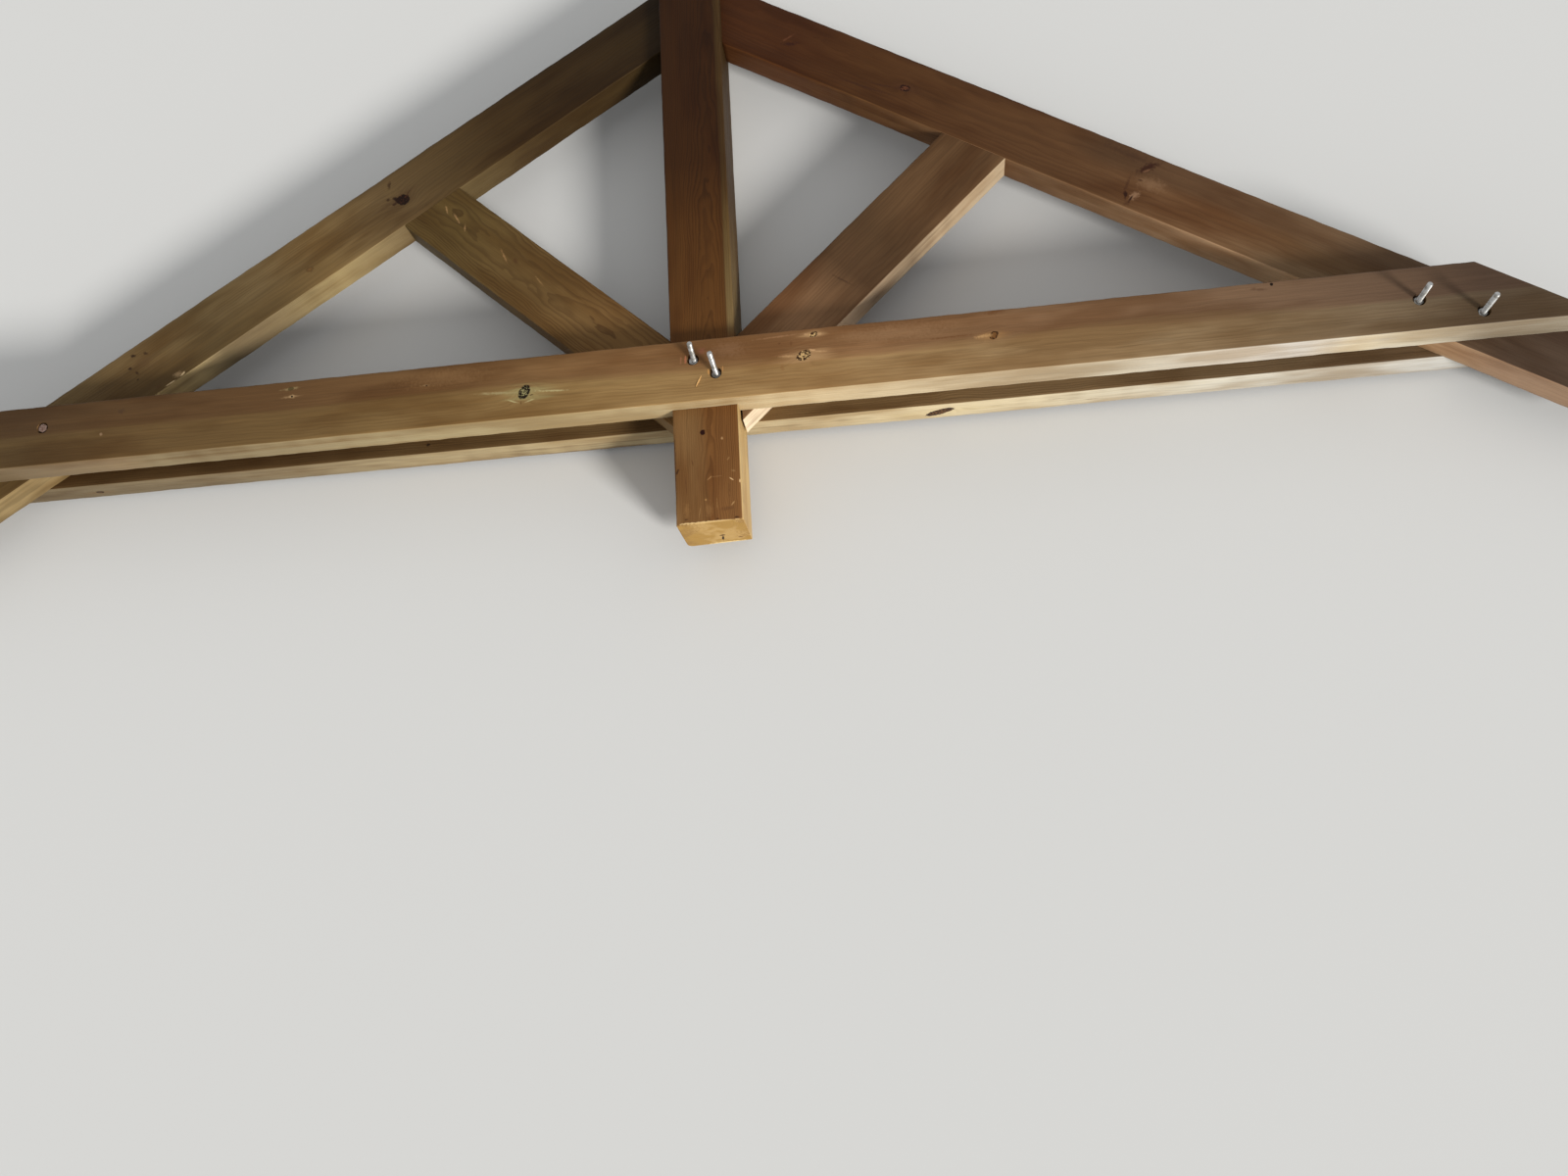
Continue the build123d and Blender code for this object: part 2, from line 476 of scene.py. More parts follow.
    def relief(self, late):
        """Height of the surface: soft wood worn lower, fibres, saw marks, and sunk knots."""
        g = self.g
        saw = g.noise(g.vector("MULTIPLY", self.moved, (300.0, 9.0, 9.0)), 1.0, 1.0)[0]
        height = g.plus(g.times(late, 0.30), g.times(self.fibre, 0.55))
        height = g.math("MULTIPLY_ADD", saw, 0.12, height)
        height = g.math("MULTIPLY_ADD", self.streak, 0.35, height)
        for mark, share in self.spots:
            if isinstance(mark, Knot):
                height = g.math("MULTIPLY_ADD", g.step(share, 1.1, 0.8), -0.6, height)
        inputs = {"Strength": 0.6, "Distance": 0.0012, "Height": height}
        return g.node("ShaderNodeBump", inputs).outputs[0]

    def finished(self):
        g = self.g
        late = self.rings()
        colour = self.sawn_faces(late)
        colour = self.end_grain(self.marked(self.toned(colour)), late)
        g.surface({
            "Base Color": colour,
            "Roughness": g.span(self.streak, 0.52, 0.76),
            "Normal": self.relief(late),
            "Specular Tint": g.mix(0.35, colour, (1.0, 0.88, 0.72, 1.0)),
            "Specular IOR Level": 0.4,
        })
        return self.material


# Timber meshes

class Waves:
    """A smooth repeatable wobble along a timber, of unit size."""

    def __init__(self, seed, lengths):
        draw = random.Random(seed)
        self.terms = [(2 * math.pi / length, draw.uniform(0, 6.28)) for length in lengths]

    def __call__(self, place):
        return sum(math.sin(rate * place + start) for rate, start in self.terms) / len(self.terms)


def ring_points(half_v, half_w, corners, gaps):
    """One closed section with four rounded corners. gaps counts the stretches along each side."""
    rounds = []
    for index, (sign_v, sign_w) in enumerate(((-1, 1), (1, 1), (1, -1), (-1, -1))):
        radius = corners[index]
        centre_v = sign_v * (half_v - radius)
        centre_w = sign_w * (half_w - radius)
        points = []
        for k in range(CORNER_POINTS):
            turn = math.pi - (index + k / (CORNER_POINTS - 1)) * math.pi / 2
            points.append((centre_v + radius * math.cos(turn), centre_w + radius * math.sin(turn)))
        rounds.append(points)
    section = []
    for index, points in enumerate(rounds):
        section += points
        goal = rounds[(index + 1) % 4][0]
        for k in range(1, gaps[index % 2]):
            share = k / gaps[index % 2]
            section.append(tuple(a + (b - a) * share for a, b in zip(points[-1], goal)))
    return section


class Timber:
    """A sawn timber in its own axes: u along the grain, v across its depth, w through its thickness."""

    def __init__(self, name, origin, along, across, depth, thickness):
        self.name = name
        self.seed = SEEDS[name]
        self.origin = Vector(origin)
        self.along = along.normalized()
        self.across = across.normalized()
        self.half_v = depth / 2
        self.half_w = thickness / 2

    def stations(self, first, last, housing):
        """Places along the timber, each with how far its broad faces are let in there."""
        count = max(2, round((last - first) / STEP))
        places = [(first + (last - first) * k / count, 0.0) for k in range(count + 1)]
        if housing:
            low, high, inset = housing
            places = [(u, inset if low < u < high else 0.0) for u, _ in places]
            places += [(low, 0.0), (low + 1e-6, inset), (high - 1e-6, inset), (high, 0.0)]
        return sorted(places)

    def loft(self, first, last, edges=EDGES, housing=None):
        """The timber before its ends are cut: worn arrises, and faces that are not quite flat."""
        bow = Waves(self.seed, (3.1, 1.3, 0.7))
        cup = Waves(self.seed + 1, (2.3, 0.9, 0.31))
        wear = [Waves(self.seed + 2 + k, (0.83, 0.29, 0.11, 0.045)) for k in range(4)]
        skin = [Waves(self.seed + 8 + k, (0.37, 0.13, 0.06)) for k in range(2)]
        gaps = (round(2 * self.half_v / STEP), round(2 * self.half_w / STEP))
        mesh = bmesh.new()
        rings = []
        for u, inset in self.stations(first, last, housing):
            corners = [edge * (1 + EDGE_WEAR * wave(u)) for edge, wave in zip(edges, wear)]
            ring = []
            for v, w in ring_points(self.half_v, self.half_w - inset, corners, gaps):
                rough = ROUGH * (skin[0](u + 3 * v) + skin[1](2.3 * v + 3.1 * w))
                v += BOW * bow(u) + rough * (abs(v) > 0.9 * self.half_v)
                w += CUP * cup(u) * v / self.half_v + rough
                point = self.origin + u * self.along + v * self.across + w * THROUGH
                ring.append(mesh.verts.new(point))
            rings.append(ring)
        skinned(mesh, rings)
        self.mesh = mesh

    def cut(self, point, outward):
        """Saws off what lies beyond a plane and eases the new end's edges."""
        mesh = self.mesh
        everything = mesh.verts[:] + mesh.edges[:] + mesh.faces[:]
        found = bmesh.ops.bisect_plane(
            mesh, geom=everything, dist=1e-7, plane_co=point, plane_no=outward, clear_outer=True)
        rim = [item for item in found["geom_cut"] if isinstance(item, bmesh.types.BMEdge)]
        filled = bmesh.ops.holes_fill(mesh, edges=rim, sides=0)["faces"]
        edges = list({edge for face in filled for edge in face.edges})
        bmesh.ops.bevel(
            mesh, geom=edges, offset=SAWN_EDGE, segments=1, affect="EDGES", clamp_overlap=True)

    def finish(self, material, recesses=()):
        """Turns the mesh into the piece that stands for a CAD node."""
        bmesh.ops.recalc_face_normals(self.mesh, faces=self.mesh.faces)
        piece = linked(self.name + "_pine", self.mesh)
        for recess in recesses:
            bored(piece, recess_cutter(*recess))
        data = piece.data
        places = np.empty(3 * len(data.vertices))
        data.vertices.foreach_get("co", places)
        axes = np.array([self.along, self.across, THROUGH])
        local = (places.reshape(-1, 3) - np.array(self.origin)) @ axes.T
        grain = data.attributes.new("grain", "FLOAT_VECTOR", "POINT")
        grain.data.foreach_set("vector", local.ravel())
        dressed(piece, material, self.name, TIMBER_ANGLE)


def linked(name, mesh):
    """A new object in the scene from a mesh under construction."""
    data = bpy.data.meshes.new(name)
    mesh.to_mesh(data)
    mesh.free()
    return added(name, data)


def added(name, data):
    """A new object in the scene from a mesh, lamp or camera."""
    piece = bpy.data.objects.new(name, data)
    bpy.context.scene.collection.objects.link(piece)
    return piece


def dressed(piece, material, replaced, angle):
    """Shades a piece, gives it its material and lets it stand for a CAD node."""
    piece.data.materials.clear()
    piece.data.materials.append(material)
    piece.data.shade_smooth()
    piece.data.set_sharp_from_angle(angle=math.radians(angle))
    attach(piece, "root")
    if replaced:
        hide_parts(replaced)


def recess_cutter(place, depth, seed):
    """A slightly uneven plug that stands out of the face it is cut from."""
    ripple = Waves(seed, (2.1, 1.05, 0.63))
    above = 0.006

    def ring(level):
        def point(turn):
            radius = RECESS_RADIUS + RECESS_RAGGED * ripple(turn)
            x, y, z = place
            return (x + radius * math.cos(turn), y + radius * math.sin(turn), z + level)
        return point

    mesh = bmesh.new()
    lathe(mesh, [ring(-depth), ring(above)], 40)
    return linked("cutter", mesh)


def bored(piece, cutter):
    """Cuts one shape out of a piece and removes the cutter."""
    modifier = piece.modifiers.new("recess", "BOOLEAN")
    modifier.operation = "DIFFERENCE"
    modifier.solver = "EXACT"
    modifier.object = cutter
    graph = bpy.context.evaluated_depsgraph_get()
    whole = bpy.data.meshes.new_from_object(piece.evaluated_get(graph))
    piece.modifiers.clear()
    piece.data = whole
    bpy.data.objects.remove(cutter)


def sloping(side, pitch, sense):
    """Unit vectors along and across a timber that runs outward from the post, rising where sense is 1."""
    along = Vector((side * math.cos(pitch), sense * math.sin(pitch), 0))
    across = Vector((-sense * side * math.sin(pitch), math.cos(pitch), 0))
    return along, across


# Driving places, from the frame

POST_LOW, POST_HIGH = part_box("king_post")
TIE_LOW, TIE_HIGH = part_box("tie_front")
CORE_LOW, CORE_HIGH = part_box("rafter_right")
HALF_POST = POST_HIGH.x
PEAK = POST_HIGH.y
CORE_Z = (CORE_LOW.z + CORE_HIGH.z) / 2
CORE_THICK = CORE_HIGH.z - CORE_LOW.z
TIE_DEPTH = TIE_HIGH.y - TIE_LOW.y
TIE_Y = (TIE_LOW.y + TIE_HIGH.y) / 2


def roof_normal(side):
    return Vector((side * math.sin(ROOF_PITCH), math.cos(ROOF_PITCH), 0))


def rafter(side, material):
    """A rafter, sawn off at the post, plumb at its outer end and level on its wall."""
    name = "rafter_right" if side > 0 else "rafter_left"
    along, across = sloping(side, ROOF_PITCH, -1)
    origin = (0, PEAK - RAFTER_DEPTH / 2 / math.cos(ROOF_PITCH), CORE_Z)
    low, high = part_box(name)
    end = max(abs(low.x), abs(high.x))
    timber = Timber(name, origin, along, across, RAFTER_DEPTH, CORE_THICK)
    timber.loft(-RAFTER_SPARE[0], end / math.cos(ROOF_PITCH) + RAFTER_SPARE[1])
    timber.cut((side * HALF_POST, 0, 0), (-side, 0, 0))
    timber.cut((side * end, 0, 0), (side, 0, 0))
    timber.cut((0, low.y, 0), (0, -1, 0))
    timber.finish(material)


def strut(side, material, gap):
    """A strut whose foot stands off the post by a small gap at its lower tip."""
    name = "strut_right" if side > 0 else "strut_left"
    along, across = sloping(side, STRUT_PITCH, 1)
    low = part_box(name)[0]
    plumb = STRUT_DEPTH / math.cos(STRUT_PITCH)
    rise = math.tan(STRUT_PITCH) * HALF_POST
    origin = (0, low.y + plumb / 2 - rise, CORE_Z)
    timber = Timber(name, origin, along, across, STRUT_DEPTH, CORE_THICK)
    timber.loft(*STRUT_REACH)
    timber.cut((side * (HALF_POST + gap), low.y, 0), (-side, -gap / plumb, 0))
    soffit = Vector((0, PEAK, 0)) - roof_normal(side) * RAFTER_DEPTH
    timber.cut(soffit, roof_normal(side))
    timber.finish(material)


def tie(name, material, recesses=()):
    """A tie on edge, its ends cut to the roof's slope."""
    low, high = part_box(name)
    middle = (low + high) / 2
    timber = Timber(name, (0, middle.y, middle.z), ALONG, ACROSS, TIE_DEPTH, high.z - low.z)
    timber.loft(low.x - TIE_SPARE, high.x + TIE_SPARE)
    for side in (-1, 1):
        timber.cut((side * high.x, low.y, 0), roof_normal(side))
    timber.finish(material, recesses=recesses)


def tie_recesses():
    """Where the front tie is bored for the sunk nuts and heads."""
    recesses = []
    for index, node in enumerate(sorted(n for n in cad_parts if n.startswith("bolt_"))):
        low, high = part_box(node)
        depth = HEAD_RECESS if "left" in node else NUT_RECESS
        place = ((low.x + high.x) / 2, (low.y + high.y) / 2, TIE_HIGH.z)
        recesses.append((place, depth, FIRST_RECESS_SEED + index))
    return recesses


def king_post(material):
    """The post, housed for both ties and cut to both slopes at its top. Its u runs up."""
    centre = (POST_LOW + POST_HIGH) / 2
    thickness = POST_HIGH.z - POST_LOW.z
    timber = Timber("king_post", (0, TIE_Y, centre.z), ACROSS, ALONG, 2 * HALF_POST, thickness)
    housing = (-TIE_DEPTH / 2, TIE_DEPTH / 2, (thickness - CORE_THICK) / 2)
    timber.loft(POST_LOW.y - TIE_Y - POST_SPARE[0], PEAK - TIE_Y + POST_SPARE[1], POST_EDGES, housing)
    timber.cut((0, POST_LOW.y, 0), (FOOT_SKEW, -1, 0))
    for side in (-1, 1):
        timber.cut((0, PEAK, 0), roof_normal(side))
    timber.finish(material)


# Woods, each cut from its own log

WOODS = {}

WOODS["tie_front"] = Wood(
    seed=1, pith_v=(0.1, 0.006), pith_w=(-0.12, 0.004), wander=0.012, ring=0.0058,
    early=(143, 111, 69), late=(112, 82, 48), contrast=0.34, stain=(214, 202, 188),
    zones=(
        Zone("v", -0.01, 0.016, 0.022, (116, 80, 50), 0.8),
        Zone("v", -0.01, 0.016, 0.022, (114, 83, 51), 0.6, (-1.0, -1.35)),
        Zone("v", 0.005, -0.025, 0.02, (126, 96, 58), 0.7, (-0.8, -1.3)),
        # The lower face's tones are painted light: paler towards the right end, where more light falls,
        # and darker at the left end.
        underside(TIE_DEPTH, (190, 168, 128), 0.9),
        underside(TIE_DEPTH, (180, 149, 111), 0.9, (-1.3, -1.4)),
        underside(TIE_DEPTH, (236, 214, 174), 0.9, (0.85, 1.35)),
        underside(TIE_DEPTH, (262, 229, 163), 0.9, (1.3, 1.45)),
    ),
    # Painted light and shade along the tie: darker towards both ends, under the roof, and brightest and
    # bluest right of the middle.
    painted_light=(
        (-1.9, (0.34, 0.36, 0.38)), (-1.62, (0.38, 0.4, 0.41)), (-1.38, (0.5, 0.51, 0.5)),
        (-1.0, (0.52, 0.53, 0.51)), (-0.35, (0.92, 0.98, 0.97)),
        (0.25, (1.22, 1.27, 1.38)), (0.9, (1.08, 1.24, 1.66)), (1.45, (0.7, 0.84, 1.28)),
        (1.7, (0.36, 0.43, 0.7)), (1.9, (0.34, 0.4, 0.62)),
    ),
    end=(120, 90, 58), along=ALONG,
    knots=(
        Knot(-0.409, -0.011, 0.0175, 0.012, 62, "green"),
        Knot(0.234, 0.011, 0.017, 0.011, 25, "pale"),
        Knot(0.259, 0.06, 0.009, 0.006, 20, "pale"),
        Knot(0.658, 0.014, 0.011, 0.008, 50, "brown"),
    ),
    marks=(
        Mark(-0.969, 0.056, 0.03, 0.0045, 3, (142, 122, 84), 0.7),
        Mark(-0.966, 0.036, 0.036, 0.004, 3, (140, 112, 78), 0.7),
        Mark(-0.968, 0.056, 0.008, 0.005, 0, (60, 50, 22), 0.8, 0.35),
        Mark(-0.964, 0.036, 0.008, 0.0055, 0, (158, 130, 92), 0.9, 0.6),
        Mark(-0.964, 0.036, 0.0032, 0.0032, 0, (30, 16, 6), 1.0, 0.35),
        Mark(-0.6, 0.045, 0.14, 0.03, 0, (138, 104, 68), 0.3, 0.98),
        Mark(0.45, 0.045, 0.16, 0.028, 0, (146, 112, 80), 0.4, 0.98),
        Mark(0.065, 0.045, 0.055, 0.028, 0, (136, 102, 74), 0.35, 0.98),
        # Painted shade under the left rafter, on the upper part of the tie's left end.
        Mark(-1.64, 0.045, 0.11, 0.035, 0, (70, 50, 32), 0.35, 0.98),
        Mark(-0.475, -0.007, 0.06, 0.005, -3, (158, 144, 104), 0.6, 0.95),
        Mark(-0.345, -0.014, 0.055, 0.0035, -4, (176, 164, 118), 0.7, 0.95),
        Mark(-0.437, -0.031, 0.019, 0.0024, -20, (176, 164, 118), 0.8, 0.8),
        Mark(-0.398, -0.034, 0.017, 0.0024, 17, (176, 164, 118), 0.8, 0.8),
        Mark(-0.392, -0.0195, 0.007, 0.0016, 15, (46, 30, 14), 0.9, 0.6),
        Mark(-0.4165, -0.037, 0.0016, 0.008, 0, (88, 62, 34), 0.8, 0.7),
        Mark(0.254, 0.0215, 0.01, 0.0035, -15, (196, 156, 112), 0.8, 0.8),
        Mark(0.27, 0.017, 0.024, 0.003, -4, (184, 144, 102)),
        Mark(0.196, 0.013, 0.03, 0.0045, -3, (188, 148, 104), 0.6, 0.95),
        Mark(0.244, 0.061, 0.01, 0.0045, 0, (176, 138, 98), 0.8, 0.8),
        Mark(0.272, 0.06, 0.008, 0.0045, 0, (176, 138, 98), 0.8, 0.8),
        Mark(0.18, 0.063, 0.065, 0.003, 2, (150, 112, 78)),
        Mark(0.181, 0.046, 0.005, 0.004, 0, (84, 52, 30)),
        Mark(0.207, 0.044, 0.004, 0.008, 0, (92, 58, 34), 0.5),
        Mark(0.184, -0.014, 0.007, 0.012, 0, (124, 84, 46), 0.4),
        Mark(0.635, 0.014, 0.026, 0.006, 3, (184, 144, 96), 0.65),
        Mark(-0.0345, 0.028, 0.012, 0.003, 88, (156, 96, 68), 0.9, 0.5),
        Mark(0.004, 0.046, 0.014, 0.012, 10, (122, 74, 56)),
        Mark(-0.045, 0.03, 0.014, 0.003, 85, (150, 100, 72), 0.6, 0.8),
        Mark(0.0172, -0.006, 0.01, 0.0026, 92, (190, 138, 78), 0.9, 0.5),
        Mark(0.0495, -0.004, 0.009, 0.0018, 88, (184, 130, 78), 0.8, 0.6),
        Mark(-0.643, 0.03, 0.016, 0.003, 2, (140, 112, 76)),
        Mark(-0.64, 0.029, 0.0026, 0.0026, 0, (40, 24, 12), 1.0, 0.35),
        Mark(-1.384, 0.042, 0.013, 0.009, 0, (70, 50, 32), 0.85, 0.8),
        Mark(-1.43, -0.011, 0.005, 0.005, 0, (140, 112, 84), 0.7, 0.6),
        Mark(0.665, 0.071, 0.03, 0.01, 8, (96, 58, 28), 0.6, 0.8),
        Mark(0.56, 0.02, 0.08, 0.003, 1, (92, 56, 28)),
        Mark(1.265, 0.069, 0.004, 0.004, 0, (24, 14, 10), 1.0, 0.35),
        Mark(1.235, 0.06, 0.025, 0.006, -10, (70, 44, 28), 0.5),
    ),
)

WOODS["tie_back"] = Wood(
    seed=2, pith_v=(0.12, -0.01), pith_w=(0.1, 0.006), wander=0.012, ring=0.0052,
    early=(118, 92, 58), late=(82, 58, 34), contrast=0.5, stain=(206, 192, 176),
    zones=(
        # The lower face's tones are painted light: darker towards the left end and paler towards the
        # right, as the light falls.
        underside(TIE_DEPTH, (208, 190, 150), 0.9),
        underside(TIE_DEPTH, (180, 166, 133), 0.8, (-0.6, -1.2)),
        underside(TIE_DEPTH, (159, 145, 116), 0.8, (-0.95, -1.25)),
        underside(TIE_DEPTH, (214, 202, 170), 0.8, (0.7, 1.1)),
    ),
    # Painted light and shade along the tie: darker towards the left end, paler and bluer towards the
    # right.
    painted_light=(
        (-1.9, (0.4, 0.36, 0.32)), (-1.0, (0.5, 0.46, 0.42)), (-0.4, (0.77, 0.75, 0.71)),
        (0.5, (1.08, 1.1, 1.16)), (1.9, (0.8, 0.92, 1.34)),
    ),
    along=ALONG,
    knots=(
        Knot(0.53, -0.002, 0.034, 0.013, 24, "split", "lower"),
        Knot(-1.547, -0.006, 0.01, 0.006, 0, "dark", "lower"),
    ),
    marks=(
        Mark(0.8, 0.01, 0.03, 0.002, 1, (96, 74, 48), 0.8, 0.9, "lower"),
        Mark(0.88, -0.012, 0.022, 0.002, -1, (96, 74, 48), 0.8, 0.9, "lower"),
        Mark(-0.091, -0.02, 0.014, 0.004, 5, (66, 48, 30), 0.9, 0.6, "lower"),
        Mark(-0.69, -0.052, 0.006, 0.0045, 0, (34, 20, 10), 0.9, 0.6),
    ),
)

WOODS["rafter_left"] = Wood(
    seed=3, pith_v=(-0.12, -0.01), pith_w=(-0.1, 0.0), ring=0.006,
    early=(138, 110, 70), late=(100, 76, 44), contrast=0.34, stain=(200, 186, 166),
    zones=(
        Zone("v", 0.01, -0.03, 0.015, (116, 88, 50), 0.75, (1.02, 1.15)),
        Zone("v", -0.02, -0.05, 0.012, (112, 86, 50), 0.7, (1.16, 1.28)),
        # The lower face's tones hold painted light and shade: darkened from 1.2 on, where the light falls
        # full on it, and lightened from 1.44 on, where the front tie casts its shadow. The tail from 1.66
        # on has a darker tone again.
        underside(RAFTER_DEPTH, (186, 160, 112), 0.85),
        underside(RAFTER_DEPTH, (160, 132, 94), 0.9, (1.2, 1.36)),
        underside(RAFTER_DEPTH, (250, 214, 152), 0.9, (1.44, 1.54)),
        underside(RAFTER_DEPTH, (164, 138, 94), 1.0, (1.66, 1.72)),
    ),
    # Painted light and shade along the rafter: much darker towards the peak.
    painted_light=(
        (0.1, (0.09, 0.075, 0.05)), (0.58, (0.17, 0.145, 0.105)), (0.75, (0.3, 0.29, 0.27)),
        (0.92, (0.43, 0.43, 0.45)), (1.12, (0.78, 0.82, 0.84)), (1.28, (0.57, 0.61, 0.66)),
        (1.45, (0.5, 0.55, 0.6)), (1.6, (0.56, 0.57, 0.57)), (2.0, (0.54, 0.55, 0.55)),
    ),
    along=sloping(-1, ROOF_PITCH, -1)[0],
    knots=(Knot(0.8815, -0.0105, 0.0165, 0.014, 30, "black"),),
    marks=(
        Mark(0.895, 0.002, 0.012, 0.007, 60, (26, 9, 4), 0.95, 0.6),
        Mark(0.905, -0.008, 0.009, 0.006, 0, (44, 24, 12), 0.9, 0.7),
        Mark(0.912, 0.013, 0.007, 0.006, 20, (48, 32, 14), 0.9, 0.7),
        Mark(0.889, 0.046, 0.017, 0.006, 120, (52, 34, 16), 0.9, 0.7),
        Mark(0.862, -0.003, 0.016, 0.0026, 150, (56, 32, 16), 0.8, 0.8),
        Mark(0.896, 0.03, 0.03, 0.02, 60, (96, 76, 46), 0.5, 0.95),
        Mark(1.167, -0.026, 0.015, 0.011, 20, (78, 56, 30), 0.8, 0.7),
        Mark(1.167, -0.026, 0.008, 0.006, 20, (104, 76, 42), 0.7, 0.8),
        Mark(1.641, 0.054, 0.009, 0.006, 30, (36, 20, 10), 0.95, 0.7),
        Mark(1.611, 0.039, 0.008, 0.005, 60, (48, 30, 16), 0.85, 0.8),
        Mark(1.6625, 0.028, 0.007, 0.005, 20, (40, 24, 12), 0.9, 0.7),
        Mark(1.6535, 0.006, 0.008, 0.004, 70, (46, 28, 14), 0.85, 0.7),
        Mark(1.6605, -0.012, 0.006, 0.004, 0, (46, 28, 14), 0.85, 0.7),
        Mark(1.625, 0.02, 0.04, 0.026, 40, (84, 60, 36), 0.45, 0.95),
        Mark(1.627, -0.06, 0.014, 0.011, 0, (78, 54, 30)),
        Mark(1.572, -0.064, 0.018, 0.01, 10, (158, 130, 94), 0.65),
        Mark(1.598, -0.072, 0.018, 0.0018, 2, (216, 188, 144), 0.95, 0.7),
        Mark(1.562, -0.07, 0.012, 0.003, -14, (216, 188, 144), 0.9, 0.7),
    ),
)

WOODS["rafter_right"] = Wood(
    seed=4, pith_v=(0.08, -0.012), pith_w=(-0.13, 0.0), ring=0.0065,
    early=(120, 86, 56), late=(92, 60, 38), contrast=0.4, stain=(206, 190, 174),
    zones=(
        Zone("u", 1.3, 1.7, 0.1, (112, 88, 62), 0.8),
        Zone("v", -0.005, 0.03, 0.015, (94, 68, 46), 0.75, (1.0, 1.12)),
        # The lower face's tones hold painted light: paler from 1.6 on, where the front tie casts its
        # shadow.
        underside(RAFTER_DEPTH, (200, 161, 121), 0.85),
        underside(RAFTER_DEPTH, (240, 188, 130), 0.9, (1.6, 1.8)),
    ),
    # Painted light and shade along the rafter: darker towards the peak, brightest near its lower end.
    painted_light=(
        (0.1, (0.25, 0.15, 0.09)), (0.3, (0.31, 0.2, 0.12)), (0.5, (0.36, 0.275, 0.18)),
        (1.05, (0.5, 0.46, 0.42)), (1.42, (0.9, 0.92, 0.95)), (1.66, (1.15, 1.25, 1.35)),
        (2.1, (0.46, 0.5, 0.68)),
    ),
    along=sloping(1, ROOF_PITCH, -1)[0],
    knots=(Knot(0.611, -0.003, 0.013, 0.009, 10, "red"),),
    marks=(
        Mark(0.294, -0.008, 0.03, 0.008, 25, (46, 20, 12), 0.9),
        Mark(0.28, 0.004, 0.022, 0.004, 60, (96, 58, 38)),
        Mark(0.52, -0.04, 0.09, 0.0045, 4, (52, 28, 18), 0.7, 0.95),
        Mark(0.56, -0.018, 0.06, 0.0035, 12, (52, 28, 18), 0.6, 0.95),
        Mark(1.17, 0.056, 0.1, 0.018, -3, (58, 38, 26), 0.55, 0.98),
        Mark(1.226, 0.042, 0.04, 0.014, 52, (46, 20, 12), 0.9, 0.8),
        Mark(1.226, 0.033, 0.012, 0.0045, 52, (104, 72, 50), 0.9, 0.7),
        Mark(1.2, -0.02, 0.03, 0.006, 98, (60, 34, 20), 0.7),
        Mark(1.25, 0.004, 0.045, 0.024, 5, (124, 94, 68), 0.6, 0.95),
        Mark(1.228, -0.039, 0.018, 0.012, 60, (136, 104, 78), 0.8, 0.8),
        Mark(1.209, -0.045, 0.014, 0.0055, 110, (40, 18, 10), 0.95, 0.6),
        Mark(1.2235, -0.05, 0.012, 0.003, 85, (40, 20, 12), 0.95, 0.6),
        Mark(1.222, -0.063, 0.012, 0.008, 40, (64, 38, 22)),
        Mark(1.223, 0.0035, 0.007, 0.003, 10, (58, 34, 20), 0.8, 0.7),
    ),
)

WOODS["strut_left"] = Wood(
    seed=5, pith_v=(0.006, 0.012), pith_w=(-0.062, -0.004), ring=0.004,
    early=(117, 91, 56), late=(78, 54, 30), contrast=0.7, stain=(216, 204, 186), waves=4.2,
    zones=(underside(STRUT_DEPTH, (130, 108, 74), 0.8),),
    # Painted light and shade along the strut: darker towards its top.
    painted_light=(
        (0.1, (1.05, 0.98, 0.9)), (0.31, (1.05, 0.98, 0.9)), (0.5, (0.77, 0.76, 0.69)),
        (0.8, (0.53, 0.55, 0.42)),
    ),
    end=(128, 98, 60), along=sloping(-1, STRUT_PITCH, 1)[0],
    marks=(
        Mark(0.867, 0.015, 0.016, 0.003, 35, (150, 116, 76), 0.7),
        Mark(0.829, 0.012, 0.024, 0.0035, 20, (156, 120, 80), 0.7),
        Mark(0.794, 0.005, 0.014, 0.003, 50, (150, 116, 76), 0.7),
        Mark(0.66, 0.006, 0.028, 0.0035, 25, (146, 110, 70), 0.7),
        Mark(0.63, 0.014, 0.012, 0.007, 30, (72, 46, 24), 0.7, 0.8),
        Mark(0.545, 0.009, 0.022, 0.003, 12, (138, 106, 66)),
    ),
)

WOODS["strut_right"] = Wood(
    seed=6, pith_v=(-0.11, 0.01), pith_w=(-0.1, 0.0), wander=0.01, ring=0.006,
    early=(118, 88, 60), late=(94, 66, 43), contrast=0.3, stain=(204, 188, 172),
    # The lower face's near-white tone is painted light.
    zones=(underside(STRUT_DEPTH, (240, 216, 182), 0.9),),
    # Painted light and shade along the strut: paler over its lower part, which the front tie shades, and
    # darker above.
    painted_light=(
        (0.0, (0.98, 1.05, 1.1)), (0.18, (1.25, 1.25, 1.25)), (0.3, (1.35, 1.32, 1.35)),
        (0.47, (0.45, 0.43, 0.42)), (0.58, (0.43, 0.42, 0.4)), (0.7, (0.6, 0.58, 0.54)),
    ),
    # The sawn ends' near-white tone is painted light.
    end=(250, 232, 204), along=sloping(1, STRUT_PITCH, 1)[0],
    marks=(Mark(0.442, -0.008, 0.038, 0.0035, 102, (58, 38, 26)),),
)

